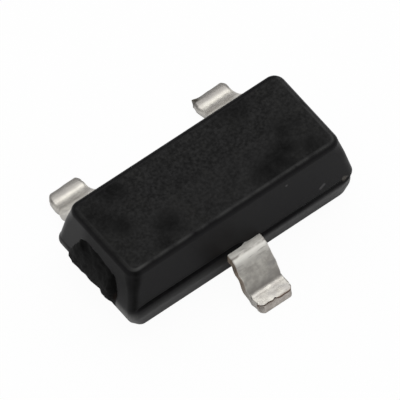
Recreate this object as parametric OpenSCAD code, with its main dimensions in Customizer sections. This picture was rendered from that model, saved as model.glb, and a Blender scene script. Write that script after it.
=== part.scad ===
// Small-outline transistor: a moulded epoxy body on three gull-wing leads.
// Millimetres, +Z up. The origin is on the seating plane, midway between the rows of feet.
// The collector lead leaves on -Y, the base lead (+X) and the emitter lead (-X) leave on +Y.

/* [Moulded body] */
// Length of the body at its parting line
body_length = 2.93; // [2.80:0.01:3.04]
// Width of the body at its parting line
body_width = 1.31; // [1.20:0.01:1.40]
// Height of the body from its underside to its top
body_height = 0.985; // [0.900:0.005:1.050]
// Gap between the seating plane and the underside of the body
standoff = 0.06; // [0.02:0.01:0.10]
// Height of the parting line, and of the lead frame's upper face, above the seating plane
parting_height = 0.44; // [0.40:0.01:0.50]
// How far the lower half stands out past the upper half at the parting line
parting_step = 0.020; // [0.005:0.005:0.040]
// Draft of the upper walls from upright, in degrees
upper_draft = 8.5; // [6:0.5:12]
// Shift of the upper half against the lower half, along X
half_shift_x = -0.036; // [-0.050:0.002:0]
// Shift of the upper half against the lower half, along Y
half_shift_y = -0.015; // [-0.030:0.001:0.010]
// Draft of the lower side walls from upright, in degrees
lower_draft = 12; // [5:0.5:15]
// Draft of the lower end walls from upright, in degrees
lower_end_draft = 20; // [15:0.5:24]
// Plan radius of the upright corners at the top of the body
top_corner_radius = 0.075; // [0.075:0.005:0.120]
// Radius of the round along the top edge
top_edge_radius = 0.080; // [0.030:0.005:0.085]
// Radius of the round along the bottom edge
bottom_edge_radius = 0.05; // [0.02:0.01:0.08]

/* [Broken mould gate] */
// Width of the stub left on the -X end where the gate was broken off
gate_width = 0.62; // [0.50:0.01:0.75]
// Offset of the stub from the centre of the end wall, towards +Y
gate_offset = 0.02; // [0:0.01:0.06]
// How far the stub stands out past the parting line
gate_reach = 0.050; // [0.035:0.005:0.080]
// Distance from the top of the body down to the top of the stub
gate_drop = 0.22; // [0.15:0.01:0.30]
// Fall of the stub's sloping face, from the wall to its broken lip
gate_fall = 0.36; // [0.25:0.01:0.38]
// Height of the broken lip below that sloping face
gate_lip = 0.025; // [0.010:0.005:0.060]
// Depth of the hollow torn out of the broken lip
gate_hollow_depth = 0.030; // [0.015:0.005:0.035]
// Radius of that hollow
gate_hollow_radius = 0.80; // [0.50:0.05:1.20]

/* [Leads] */
// Width of a lead
lead_width = 0.40; // [0.30:0.01:0.50]
// Thickness of the lead frame strip
lead_thickness = 0.12; // [0.08:0.01:0.15]
// Distance over the lower edges of the opposite feet
lead_span = 2.46; // [2.40:0.01:2.60]
// How far the sheared end of a foot leans back from its lower to its upper edge
shear_lean = 0.03; // [0:0.01:0.06]
// Distance between the base and emitter leads
lead_pitch = 1.90; // [1.80:0.01:2.00]
// Straight run of a lead between the body and its first bend
shoulder_run = 0.010; // [0.005:0.005:0.060]
// Inside radius of the bend at the shoulder of a lead
shoulder_radius = 0.04; // [0.03:0.01:0.08]
// Inside radius of the bend at the heel of a lead
heel_radius = 0.08; // [0.04:0.01:0.10]
// Angle that a lead turns down from level, in degrees
bend_angle = 48; // [45:1:70]

/* [Lead frame inside the body] */
// Width of the die pad, along Y
pad_width = 0.60; // [0.50:0.01:0.70]
// Distance of the die pad's centre line from the origin, towards the collector lead
pad_offset = 0.05; // [0:0.01:0.08]
// Gap stamped between the die pad and each bonding post
frame_gap = 0.20; // [0.15:0.01:0.25]
// Reach of a bonding post into the body from the side wall
post_reach = 0.46; // [0.38:0.01:0.52]
// How far the anchor of a bonding post stands out past the lead, towards the end of the body
anchor_reach = 0.12; // [0.06:0.01:0.16]
// Depth of that anchor along the post
anchor_depth = 0.24; // [0.16:0.01:0.28]

/* [Chip and bond wires] */
// Side of the square silicon die
die_size = 0.40; // [0.30:0.01:0.45]
// Thickness of the silicon die
die_thickness = 0.18; // [0.12:0.01:0.22]
// Thickness of the die attach layer under the die
attach_thickness = 0.020; // [0.010:0.005:0.030]
// How far the die attach layer shows round the die
attach_margin = 0.020; // [0.010:0.005:0.030]
// Diameter of a bond wire
wire_diameter = 0.030; // [0.020:0.005:0.038]
// Diameter of the ball that ends a bond wire on the die
ball_diameter = 0.080; // [0.070:0.005:0.090]
// Height of that ball
ball_height = 0.020; // [0.015:0.005:0.030]
// Distance of each ball from the die's centre, along X
ball_offset = 0.10; // [0.07:0.01:0.12]
// Rise of a bond wire's loop above the die
loop_rise = 0.15; // [0.10:0.01:0.20]
// Distance from a post's inner end to the stitch where its wire lands
stitch_setback = 0.12; // [0.08:0.01:0.16]
// Distance of that stitch from the middle of the lead, towards the die
stitch_inset = 0.10; // [0.06:0.01:0.12]
// Share of the wire's plan length over which it comes down to its stitch
wire_descent = 0.40; // [0.30:0.05:0.50]

/* [Hidden] */

// Sides of a full circle where a curve has to be drawn as straight pieces
$fn = 64;

// Colours of the drawing
moulding_colour = [0.13, 0.13, 0.14];
tin_colour = [0.78, 0.77, 0.74];
attach_colour = [0.70, 0.70, 0.68];
silicon_colour = [0.30, 0.31, 0.36];
gold_colour = [0.85, 0.66, 0.25];

// Levels above the seating plane
body_top = standoff + body_height;
frame_top = parting_height;
frame_bottom = frame_top - lead_thickness;
die_bottom = frame_top + attach_thickness;
die_top = die_bottom + die_thickness;

// Plan of the body: its corners turn about these centres
corner_radius = top_corner_radius + parting_step + (body_top - parting_height) * tan(upper_draft);
corner_x = body_length / 2 - corner_radius;
corner_y = body_width / 2 - corner_radius;
side_wall = body_width / 2;

// Path of a lead, measured along the middle of the strip
shoulder_middle = shoulder_radius + lead_thickness / 2;
heel_middle = heel_radius + lead_thickness / 2;
frame_middle = frame_bottom + lead_thickness / 2;
slope_fall = frame_bottom - (shoulder_middle + heel_middle) * (1 - cos(bend_angle));
slope_length = slope_fall / sin(bend_angle);
shoulder_end = side_wall + shoulder_run;
shoulder_centre = [shoulder_end, frame_middle - shoulder_middle];
slope_start = shoulder_centre + shoulder_middle * [sin(bend_angle), cos(bend_angle)];
heel_end = slope_start.x + slope_length * cos(bend_angle) + heel_middle * sin(bend_angle);
foot_end = lead_span / 2;

// Plan of the lead frame inside the body
pad_length = lead_pitch - lead_width - 2 * frame_gap;
pad_front = pad_offset + pad_width / 2;
post_end = side_wall - post_reach;

// A bond wire rises from its ball, arches over the die's edge and comes down on its post
ball_place = [ball_offset, -pad_offset, die_top];
stitch_place = [lead_pitch / 2 - stitch_inset, post_end + stitch_setback, frame_top];
wire_start = ball_place + [0, 0, ball_height / 2];
wire_plan = [stitch_place.x - ball_place.x, stitch_place.y - ball_place.y, 0];
wire_heading = wire_plan / norm(wire_plan);
wire_side = cross([0, 0, 1], wire_heading);
wire_lift = wire_start + [0, 0, loop_rise];
wire_drop = [stitch_place.x, stitch_place.y, wire_lift.z] - wire_descent * wire_plan;

// Pieces that a wire is drawn with along its length and round it, and sides of its ball
wire_rings = 12;
wire_sides = 8;
ball_sides = 12;

// Distance of the upper and lower walls from the corner centres at a given level
function upper_wall(z) = corner_radius - parting_step - (z - parting_height) * tan(upper_draft);
function lower_wall(z) = corner_radius - (frame_bottom - z) * tan(lower_draft);

// Section of the upper half, from a corner centre out to the wall
module upper_section() {
    top_level = body_top - top_edge_radius;
    top_centre = [upper_wall(top_level) - top_edge_radius / cos(upper_draft), top_level];
    intersection() {
        translate([0, parting_height])
            square([corner_radius, body_top - parting_height]);
        union() {
            polygon([
                [0, parting_height],
                [upper_wall(parting_height), parting_height],
                top_centre + top_edge_radius * [cos(upper_draft), sin(upper_draft)],
                [top_centre.x, body_top],
                [0, body_top]
            ]);
            translate(top_centre)
                circle(r = top_edge_radius);
        }
    }
}

// Section of the lower half, from a corner centre out to the wall
module lower_section() {
    bottom_level = standoff + bottom_edge_radius;
    bottom_centre = [lower_wall(bottom_level) - bottom_edge_radius / cos(lower_draft), bottom_level];
    intersection() {
        translate([0, standoff])
            square([corner_radius, parting_height - standoff]);
        union() {
            polygon([
                [0, standoff],
                [bottom_centre.x, standoff],
                bottom_centre + bottom_edge_radius * [cos(lower_draft), -sin(lower_draft)],
                [corner_radius, frame_bottom],
                [corner_radius, parting_height],
                [0, parting_height]
            ]);
            translate(bottom_centre)
                circle(r = bottom_edge_radius);
        }
    }
}

// Whole section between two levels: the given half section either side of a middle of twice half_span
module both_sides(half_span, low, high) {
    translate([-half_span, low])
        square([2 * half_span, high - low]);
    for (side = [0, 1])
        mirror([side, 0])
            translate([half_span, 0])
                children();
}

// A block between two levels: the given half section carried along each axis and turned round the corners
module drafted_block(low, high) {
    rotate([90, 0, 90])
        linear_extrude(2 * corner_x, center = true)
            both_sides(corner_y, low, high)
                children();
    rotate([90, 0, 0])
        linear_extrude(2 * corner_y, center = true)
            both_sides(corner_x, low, high)
                children();
    for (turn = [0 : 90 : 270])
        translate([corner_x * sign(cos(turn + 45)), corner_y * sign(sin(turn + 45)), 0])
            rotate(turn)
                rotate_extrude(angle = 90)
                    children();
}

// Wedge outside the lower wall of the +X end, from the middle of the lead frame down to the seating plane
module end_wedge() {
    end = body_length / 2;
    rotate([90, 0, 0])
        linear_extrude(2 * body_width, center = true)
            polygon([
                [end, frame_middle],
                [end - frame_middle * tan(lower_end_draft), 0],
                [end + corner_radius, 0],
                [end + corner_radius, frame_middle]
            ]);
}

// The moulding before the lead frame is taken out of it; its halves did not quite meet in the mould
module moulding() {
    difference() {
        drafted_block(standoff, parting_height)
            lower_section();
        for (side = [0, 1])
            mirror([side, 0, 0])
                end_wedge();
    }
    translate([half_shift_x, half_shift_y, 0])
        drafted_block(parting_height, body_top)
            upper_section();
}

// Stub of the mould gate on the -X end: a thin wedge on the wall, with a hollow torn out of its lip
module gate_stub() {
    stub_top = body_top - gate_drop;
    wall_at_top = corner_x + upper_wall(stub_top) - half_shift_x;
    face = body_length / 2 + gate_reach;
    lip_top = stub_top - gate_fall;
    mirror([1, 0, 0])
        translate([0, gate_offset, 0])
            difference() {
                rotate([90, 0, 0])
                    linear_extrude(gate_width, center = true)
                        polygon([
                            [corner_x, frame_middle],
                            [body_length / 2, frame_middle],
                            [face, lip_top - gate_lip],
                            [face, lip_top],
                            [wall_at_top, stub_top],
                            [corner_x, stub_top]
                        ]);
                translate([face + gate_hollow_radius - gate_hollow_depth, 0, 0])
                    cylinder(r = gate_hollow_radius, h = body_top);
            }
}

// Part of a ring of the strip's thickness, from start_angle through the bend angle
module bend(centre, inside_radius, start_angle) {
    outside_radius = inside_radius + lead_thickness;
    reach = 2 * outside_radius;
    translate(centre)
        intersection() {
            difference() {
                circle(r = outside_radius);
                circle(r = inside_radius);
            }
            rotate(start_angle)
                polygon([[0, 0], [reach, 0], reach * [cos(bend_angle), sin(bend_angle)]]);
        }
}

// Side view of a lead outside the body, from the end of its shoulder to the end of its foot
module gull_wing() {
    bend(shoulder_centre, shoulder_radius, 90 - bend_angle);
    translate(slope_start)
        rotate(-bend_angle)
            translate([0, -lead_thickness / 2])
                square([slope_length, lead_thickness]);
    bend([heel_end, lead_thickness / 2 + heel_middle], heel_radius, 270 - bend_angle);
    polygon([
        [heel_end, 0],
        [foot_end, 0],
        [foot_end - shear_lean, lead_thickness],
        [heel_end, lead_thickness]
    ]);
}

// A lead on the +Y side, from its level root inside the body to the end of its foot
module formed_lead(root) {
    rotate([90, 0, 90])
        linear_extrude(lead_width, center = true)
            gull_wing();
    translate([-lead_width / 2, root, frame_bottom])
        cube([lead_width, shoulder_end - root, lead_thickness]);
}

// A lead on the +Y side that ends inside the body in a bonding post with an anchor towards +X
module posted_lead() {
    translate([lead_pitch / 2, 0, 0]) {
        formed_lead(post_end);
        translate([0, post_end, frame_bottom])
            cube([lead_width / 2 + anchor_reach, anchor_depth, lead_thickness]);
    }
}

// Point of the bond wire's path, a cubic curve through its lift and its drop
function wire_point(t) =
    pow(1 - t, 3) * wire_start + 3 * pow(1 - t, 2) * t * wire_lift
    + 3 * (1 - t) * t * t * wire_drop + pow(t, 3) * stitch_place;

// Direction of the wire at that point
function wire_tangent(t) =
    let (along = pow(1 - t, 2) * (wire_lift - wire_start) + 2 * (1 - t) * t * (wire_drop - wire_lift)
        + t * t * (stitch_place - wire_drop))
    along / norm(along);

// Corner of a ring round the wire; the last ring is carried on to the face of the post
function wire_corner(t, turn) =
    let (tangent = wire_tangent(t),
        spoke = cos(turn) * cross(wire_side, tangent) + sin(turn) * wire_side,
        corner = wire_point(t) + wire_diameter / 2 * spoke)
    t < 1 ? corner : corner + tangent * (frame_top - corner.z) / tangent.z;

// A bond wire on the +X side, with its ball on the die and its stitch on the post
module bond_wire() {
    corners = [for (ring = [0 : wire_rings], side = [0 : wire_sides - 1])
        wire_corner(ring / wire_rings, 360 * side / wire_sides)];
    last = wire_rings * wire_sides;
    walls = [for (ring = [0 : wire_rings - 1], side = [0 : wire_sides - 1], half = [0, 1])
        let (here = ring * wire_sides + side,
            next = ring * wire_sides + (side + 1) % wire_sides)
        half == 0
            ? [here, next, next + wire_sides]
            : [here, next + wire_sides, here + wire_sides]];
    start_face = [[for (side = [wire_sides - 1 : -1 : 0]) side]];
    end_face = [[for (side = [0 : wire_sides - 1]) last + side]];
    polyhedron(corners, concat(walls, start_face, end_face));
    translate(ball_place)
        cylinder(d = ball_diameter, h = ball_height, $fn = ball_sides);
}

module moulded_body() {
    color(moulding_colour)
        difference() {
            union() {
                moulding();
                gate_stub();
            }
            collector_lead();
            base_lead();
            emitter_lead();
            die_attach();
            silicon_die();
            base_wire();
            emitter_wire();
        }
}

module collector_lead() {
    color(tin_colour)
        rotate(180) {
            formed_lead(pad_front);
            translate([-pad_length / 2, pad_front - pad_width, frame_bottom])
                cube([pad_length, pad_width, lead_thickness]);
        }
}

module base_lead() {
    color(tin_colour)
        posted_lead();
}

module emitter_lead() {
    color(tin_colour)
        mirror([1, 0, 0])
            posted_lead();
}

module die_attach() {
    layer_size = die_size + 2 * attach_margin;
    color(attach_colour)
        translate([-layer_size / 2, -pad_offset - layer_size / 2, frame_top])
            cube([layer_size, layer_size, attach_thickness]);
}

module silicon_die() {
    color(silicon_colour)
        translate([-die_size / 2, -pad_offset - die_size / 2, die_bottom])
            cube([die_size, die_size, die_thickness]);
}

module base_wire() {
    color(gold_colour)
        bond_wire();
}

module emitter_wire() {
    color(gold_colour)
        mirror([1, 0, 0])
            bond_wire();
}

moulded_body();
collector_lead();
base_lead();
emitter_lead();
die_attach();
silicon_die();
base_wire();
emitter_wire();
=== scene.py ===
# %% [markdown]
# A small transistor in a moulded case, about three millimetres long, with three plated leads bent like
# a gull's wing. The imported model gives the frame: sizes, places and the pieces hidden inside the moulding.
# This file dresses it: the moulding and the leads are rebuilt as finer surfaces, and every piece gets its
# finish. All lengths below are written in millimetres and become metres only when a mesh is made.

import bmesh
import bpy
import numpy as np
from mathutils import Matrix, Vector


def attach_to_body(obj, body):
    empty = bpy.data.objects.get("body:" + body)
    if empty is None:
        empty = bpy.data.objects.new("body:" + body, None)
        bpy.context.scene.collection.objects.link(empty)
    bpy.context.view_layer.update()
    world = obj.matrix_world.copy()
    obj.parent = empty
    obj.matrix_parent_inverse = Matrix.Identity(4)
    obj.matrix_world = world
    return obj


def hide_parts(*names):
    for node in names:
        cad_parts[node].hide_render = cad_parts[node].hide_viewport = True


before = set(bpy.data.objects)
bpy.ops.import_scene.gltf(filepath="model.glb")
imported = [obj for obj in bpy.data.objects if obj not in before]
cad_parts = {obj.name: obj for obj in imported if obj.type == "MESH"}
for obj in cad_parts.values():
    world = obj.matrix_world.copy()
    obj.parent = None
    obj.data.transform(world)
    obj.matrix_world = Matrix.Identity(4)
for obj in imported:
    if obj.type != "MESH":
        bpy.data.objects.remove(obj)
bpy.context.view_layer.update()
MM = 0.001

# %% [markdown]
# The photograph looks down on the part from its front left, through a lens so long that no edge runs
# together. Turn and rise were fitted to the outline of the body, and the scale to the distance between the
# two back leads. A long lens far away keeps parallel edges parallel. An orthographic camera would do too,
# but a lens can be shortened later for a closer look at the part.

# %% Camera
CAMERA_TURN = np.radians(37.745)
CAMERA_RISE = np.radians(57.569)
PIXELS_PER_MM = 97.246
FRAME_PIXELS = 400
ORIGIN_PIXEL = (206.36, 224.84)
LENS = 1400
SENSOR = 36

right = np.array([np.cos(CAMERA_TURN), -np.sin(CAMERA_TURN), 0])
back = np.array([-np.sin(CAMERA_TURN) * np.cos(CAMERA_RISE), -np.cos(CAMERA_TURN) * np.cos(CAMERA_RISE),
                 np.sin(CAMERA_RISE)])
up = np.cross(back, right)
off_centre = FRAME_PIXELS / 2 - np.array(ORIGIN_PIXEL)
aim = (right * off_centre[0] - up * off_centre[1]) / PIXELS_PER_MM
distance = FRAME_PIXELS / PIXELS_PER_MM * LENS / SENSOR

camera_data = bpy.data.cameras.new("camera")
camera_data.lens = LENS
camera_data.sensor_width = SENSOR
camera_data.clip_start = 0.001
camera_data.clip_end = 10
camera = bpy.data.objects.new("camera", camera_data)
camera.location = Vector((aim + back * distance) * MM)
camera.rotation_mode = "QUATERNION"
camera.rotation_quaternion = Vector(-back).to_track_quat("-Z", "Y")
bpy.context.scene.collection.objects.link(camera)
bpy.context.scene.camera = camera
print("camera is", round(distance, 1), "mm from the part")

# %% [markdown]
# Every new piece below is a surface on a grid: rows along one parameter, columns along the other, worked out
# as whole arrays. These helpers turn such a grid into a closed mesh. A grid that runs round a section is
# wrapped, so its last column meets its first, and where a row shrinks to a line or a point its doubled
# corners are merged. Each piece says how many open edges it has left, which should be none.

# %% From a grid to a mesh
MERGE = 1e-9


def grid_faces(rows, columns):
    """Quads between neighbouring rows of a grid whose last column meets its first."""
    row = np.arange(rows - 1)[:, None] * columns
    here = np.arange(columns)[None, :]
    beside = (here + 1) % columns
    corners = [row + here, row + beside, row + columns + beside, row + columns + here]
    return np.stack(corners, -1).reshape(-1, 4)


def grid_piece(name, points, shares):
    """A closed object from points in mm, rows by columns by three; shares are masks, one per point."""
    rows, columns = points.shape[:2]
    mesh = bpy.data.meshes.new(name)
    mesh.from_pydata((points.reshape(-1, 3) * MM).tolist(), [], grid_faces(rows, columns).tolist())
    for share, values in shares.items():
        layer = mesh.attributes.new(share, "FLOAT", "POINT")
        layer.data.foreach_set("value", values.astype(np.float32).ravel())
    work = bmesh.new()
    work.from_mesh(mesh)
    bmesh.ops.remove_doubles(work, verts=work.verts, dist=MERGE)
    bmesh.ops.dissolve_degenerate(work, edges=work.edges, dist=MERGE)
    bmesh.ops.recalc_face_normals(work, faces=work.faces)
    open_edges = sum(not edge.is_manifold for edge in work.edges)
    work.to_mesh(mesh)
    work.free()
    mesh.polygons.foreach_set("use_smooth", np.ones(len(mesh.polygons), bool))
    piece = bpy.data.objects.new(name, mesh)
    bpy.context.scene.collection.objects.link(piece)
    print(name, len(mesh.vertices), "points,", len(mesh.polygons), "faces,", open_edges, "open edges")
    return piece


# %% [markdown]
# Broken plastic and sheared metal are rough in a way that no plain curve gives. This noise is a lattice of
# random numbers, blended smoothly between its corners: one call gives a value between about -1 and 1 for
# every point of an array. A Displace modifier could roughen a piece too, but here the same numbers also
# shape the edge of the break. Two soft shapes, a step and a bell, say where on a piece something happens.

# %% Noise, steps and bells on arrays
LATTICE_SIDE = 32
OCTAVE_SHIFT = 7.3
LATTICE = np.random.default_rng(23).uniform(-1, 1, (LATTICE_SIDE, LATTICE_SIDE, LATTICE_SIDE))


def rough(points, cell, octaves=3):
    """Sum of lattice noises, each with half the cell and half the weight of the one before; cell in mm."""
    total = np.zeros(points.shape[:-1])
    for octave in range(octaves):
        place = points * 2**octave / cell + OCTAVE_SHIFT * octave
        base = np.floor(place).astype(int)
        ease = place - base
        ease = ease * ease * (3 - 2 * ease)
        for ahead in np.ndindex(2, 2, 2):
            weight = np.prod(np.where(ahead, ease, 1 - ease), -1)
            x, y, z = np.moveaxis((base + ahead) % LATTICE_SIDE, -1, 0)
            total += weight * LATTICE[x, y, z] / 2**octave
    return total


def smooth_step(start, end, value):
    """0 up to start, 1 from end on, and an S-shaped change between; start may be the larger of the two."""
    share = np.clip((value - start) / (end - start), 0, 1)
    return share * share * (3 - 2 * share)


def bell(value, centre, width):
    """1 at a centre, falling off on both sides to about a third at one width from it."""
    return np.exp(-((value - centre) / width)**2)


print("noise lattice", LATTICE.shape)

# %% [markdown]
# The outline of a moulding seen from above is a rectangle with round corners. Every point of it is named by
# three numbers: how far along X and Y its corner centre lies, from -1 to 1, and which way the wall faces
# there. The same three numbers work at every level of the moulding, and for the section of a lead too.

# %% Columns round a rounded rectangle
def outline(right_side, top_side, left_side, bottom_side, corner_steps):
    """Shares of half-length and half-width, and facing, anticlockwise round a rounded rectangle."""
    sides = [((1, 1), (-1, 1), top_side), ((-1, 1), (-1, -1), left_side),
             ((-1, -1), (1, -1), bottom_side), ((1, -1), (1, 1), right_side)]
    shares, facing = [], []
    for quarter, (start, end, places) in enumerate(sides):
        turn = np.linspace(0, np.pi / 2, corner_steps) + quarter * np.pi / 2
        side = np.array(start) + np.outer(places, np.subtract(end, start))
        shares += [np.tile(start, (corner_steps, 1)), side]
        facing += [turn, np.full(len(places), turn[-1])]
    return (*np.concatenate(shares).T, np.concatenate(facing))


def even(count):
    """Places between the two ends of a side, without the ends."""
    return np.linspace(0, 1, count + 2)[1:-1]


LONG_SIDE_COLUMNS = 110
LEFT_END_COLUMNS = 90
RIGHT_END_COLUMNS = 40
CORNER_COLUMNS = 12
along, across, facing = outline(even(RIGHT_END_COLUMNS), even(LONG_SIDE_COLUMNS), even(LEFT_END_COLUMNS),
                                even(LONG_SIDE_COLUMNS), CORNER_COLUMNS)
print(len(along), "columns round the moulding")

# %% [markdown]
# The moulding was formed in two halves of a mould that meet at the lead frame. Both halves have draft, so
# that the part can leave the mould. The halves were not quite in line: the upper one leans towards the left
# and the front, so its walls are steeper there. A box with bevelled edges would come near, but it would have
# the same wall all round. Here every column of the outline may have its own wall.

# %% Sizes of the moulding
BODY_LENGTH = 2.93
BODY_WIDTH = 1.31
BODY_TOP = 1.045
BODY_BOTTOM = 0.06
PARTING = 0.44
STRIP = 0.12
FRAME_FOOT = PARTING - STRIP
FRAME_MIDDLE = FRAME_FOOT + STRIP / 2
STEP = 0.02
LEAN = (-0.036, -0.015)
UPPER_DRAFT = np.radians(8.5)
LOWER_DRAFT = np.radians(12)
END_DRAFT = np.radians(20)
TOP_CORNER = 0.075
TOP_EDGE = 0.08
BOTTOM_EDGE = 0.05

corner = TOP_CORNER + STEP + (BODY_TOP - PARTING) * np.tan(UPPER_DRAFT)
corner_x = BODY_LENGTH / 2 - corner
corner_y = BODY_WIDTH / 2 - corner
place_x = along * corner_x + corner * np.cos(facing)
place_y = across * corner_y + corner * np.sin(facing)
print("corner centres lie at", round(corner_x, 3), "and", round(corner_y, 3))

# %% [markdown]
# The lower half bulges out under the line where the halves met, and that crease is the dark line along the
# wall. Left of the front lead it lies higher than right of it. The corners differ too: under the left end
# the near corner stands out as a shallow shelf, and the near corner at the right is full below and a little
# flattened at the bulge. Soft zones of the outline say which columns belong to which corner.

# %% Zones of the outline, and the crease
RIGHT_END = (1.20, 1.36)
LEFT_END = (-1.24, -1.34)
NEAR_RIGHT = (-0.40, -0.55)
NEAR_LEFT = (-0.12, -0.30)
FAR_LEFT = (0.30, 0.42)
LEFT_CREASE = 0.482
RIGHT_CREASE = 0.408
LEFT_GROOVE = 0.018
RIGHT_GROOVE = 0.008
GROOVE_HALF = 0.026


def zone(x_edge, y_edge):
    """1 for columns past both edges; each edge is the pair of places where the change starts and ends."""
    return smooth_step(*x_edge, place_x) * smooth_step(*y_edge, place_y)


right_corner = zone(RIGHT_END, NEAR_RIGHT)
left_corner = zone(LEFT_END, NEAR_LEFT)
far_left = zone(LEFT_END, FAR_LEFT)
near = smooth_step(0.2, -0.2, across) * (1 - np.abs(np.cos(facing)))
left_of_lead = smooth_step(0.1, -0.1, place_x)
along_front = smooth_step(1.36, 1.18, place_x) * smooth_step(-1.42, -1.15, place_x)
crease = PARTING + near * (RIGHT_CREASE - PARTING + (LEFT_CREASE - RIGHT_CREASE) * left_of_lead)
groove = near * (RIGHT_GROOVE + (LEFT_GROOVE - RIGHT_GROOVE) * left_of_lead) * along_front
print("crease runs between", crease.min().round(3), "and", crease.max().round(3))

# %% [markdown]
# A wall is a distance from the corner centres for every level. Above the crease it is a straight line that
# leans in. Below, it swings out to the bulge in a parabola and then leans in again, and the two ends have
# more draft than the sides. Formulas do this better than a drawn profile, because a zone can change them.

# %% Walls of the moulding
BULGE_LEVEL = 0.36
BULGE_FOOT = 0.317
SHELF_DRAFT = np.radians(30)
SHELF_FOOT = 0.24
SHELF_LOSS = 0.015
FLAT_DEPTH = 0.020
FLAT_LEVELS = (0.24, 0.36)
CORNER_HOLD = 0.7
bulge_radius = (BULGE_LEVEL - BULGE_FOOT) / np.tan(LOWER_DRAFT)


def upper_wall(z):
    """Distance of the upper wall from the corner centres: it leans in with height."""
    return corner - STEP - (z - PARTING) * np.tan(UPPER_DRAFT)


def lower_wall(z):
    """Distance of the lower wall from the corner centres: in at the crease, out at the bulge, in below."""
    above = np.clip((z - BULGE_LEVEL) / (crease - BULGE_LEVEL), 0, 1)
    below = np.clip(BULGE_LEVEL - z, 0, BULGE_LEVEL - BULGE_FOOT)
    flat = FLAT_DEPTH * right_corner * (1 - above**2) * smooth_step(*FLAT_LEVELS, z)
    return (corner - (corner - upper_wall(crease)) * above**2 - below**2 / (2 * bulge_radius)
            - np.maximum(BULGE_FOOT - z, 0) * np.tan(LOWER_DRAFT) - flat)


def end_loss(z):
    """How much further in the lower end walls lie than the lower side walls.

    They have more draft, but the shelf at the near left corner and the near right corner are held out.
    """
    side_loss = np.maximum(BULGE_FOOT - z, 0) * np.tan(LOWER_DRAFT)
    loss = np.maximum(FRAME_MIDDLE - z, 0) * np.tan(END_DRAFT) - side_loss
    above = np.clip((z - BULGE_LEVEL) / (PARTING - BULGE_LEVEL), 0, 1)
    shelf = np.maximum(SHELF_FOOT - z, 0) * (np.tan(SHELF_DRAFT) - np.tan(LOWER_DRAFT))
    shelf = shelf + SHELF_LOSS * (1 - above**2)
    return (loss + (shelf - loss) * left_corner) * (1 - CORNER_HOLD * right_corner)


def crease_cut(z):
    """Depth of the small groove that follows the crease."""
    return groove * np.clip(1 - np.abs(z - crease) / GROOVE_HALF, 0, 1)


print("walls reach", lower_wall(BULGE_LEVEL).max().round(3), "mm from the corner centres")

# %% [markdown]
# The grid's rows go up the wall: round the bottom edge, up the lower wall to the crease, up the upper wall
# and round the top edge. Each block of rows gives a level and a reach for every column. Rows lie close
# together where the wall turns, because a grid shows a curve only as well as its rows follow it.

# %% Levels and reaches of the rows
TOP_ROWS = 16


def run(start, stop, count):
    """Rows from start up to, but not including, stop; either may hold one value per column."""
    share = (np.arange(count) / count)[:, None]
    return start + (stop - start) * share


def stacked(*blocks):
    """One array from blocks of rows, each spread over all columns."""
    return np.concatenate([rows + 0 * crease for rows in blocks])


bottom_turn = run(-np.pi / 2, -LOWER_DRAFT, 8)
bottom_level = BODY_BOTTOM + BOTTOM_EDGE
bottom_centre = lower_wall(bottom_level) - BOTTOM_EDGE / np.cos(LOWER_DRAFT)
top_turn = run(UPPER_DRAFT, np.pi / 2, TOP_ROWS)
top_level = BODY_TOP - TOP_EDGE
top_centre = upper_wall(top_level) - TOP_EDGE / np.cos(UPPER_DRAFT)
lower_z = stacked(run(bottom_level - BOTTOM_EDGE * np.sin(LOWER_DRAFT), BULGE_FOOT, 6),
                  run(BULGE_FOOT, crease - GROOVE_HALF, 16), run(crease - GROOVE_HALF, crease, 4))
upper_z = stacked(run(crease, crease + GROOVE_HALF, 4),
                  run(crease + GROOVE_HALF, top_level + TOP_EDGE * np.sin(UPPER_DRAFT), 46))

level = stacked(bottom_level + BOTTOM_EDGE * np.sin(bottom_turn), lower_z, upper_z,
                top_level + TOP_EDGE * np.sin(top_turn), np.array([[BODY_TOP]]))
reach = stacked(bottom_centre + BOTTOM_EDGE * np.cos(bottom_turn), lower_wall(lower_z) - crease_cut(lower_z),
                upper_wall(upper_z) - crease_cut(upper_z), top_centre + TOP_EDGE * np.cos(top_turn),
                np.array([[top_centre]]))
edge_tilt = np.concatenate([np.full(len(level) - TOP_ROWS - 1, np.pi / 2), np.pi / 2 - top_turn[:, 0], [0]])
print(len(level), "rows up the wall")

# %% [markdown]
# Seen from above, the corners change with height: wide on the lower half, tight at the crease and rounder
# again at the rim of the top. The top and the underside are closed by rows that shrink the last outline to
# a line along the middle, and the upper rows then shift with height, which gives the lean.

# %% Corners, caps and lean
UPPER_CORNER = 0.085
LOWER_CORNER = 0.115
SHELF_CORNER = 0.085
RIM_CORNER = 0.130
TOP_PLAN_CORNER = 0.045
CREASE_BLEND = 0.08
RIM_LEVELS = (0.72, 0.95)
UNDER_ROWS = 10
OVER_ROWS = 26

plan_corner = LOWER_CORNER + (SHELF_CORNER - LOWER_CORNER) * left_corner
plan_corner = plan_corner + (UPPER_CORNER - plan_corner) * smooth_step(crease - CREASE_BLEND, crease, level)
plan_corner = plan_corner + (RIM_CORNER - UPPER_CORNER) * smooth_step(*RIM_LEVELS, level)
plan_corner = np.minimum(reach + TOP_PLAN_CORNER, plan_corner)
half_x = corner_x + reach - end_loss(level)
half_y = corner_y + reach


def cap(edge_row, count):
    """Rows that shrink an edge row towards the line along the middle of a flat face."""
    share = (np.arange(1, count + 1) / count)[:, None]
    ridge = half_x[edge_row].max() - half_y[edge_row].max()
    length = half_x[edge_row] + (ridge - half_x[edge_row]) * share
    shrink = 1 - share
    return length, half_y[edge_row] * shrink, plan_corner[edge_row] * shrink, level[edge_row] + 0 * share


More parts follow.
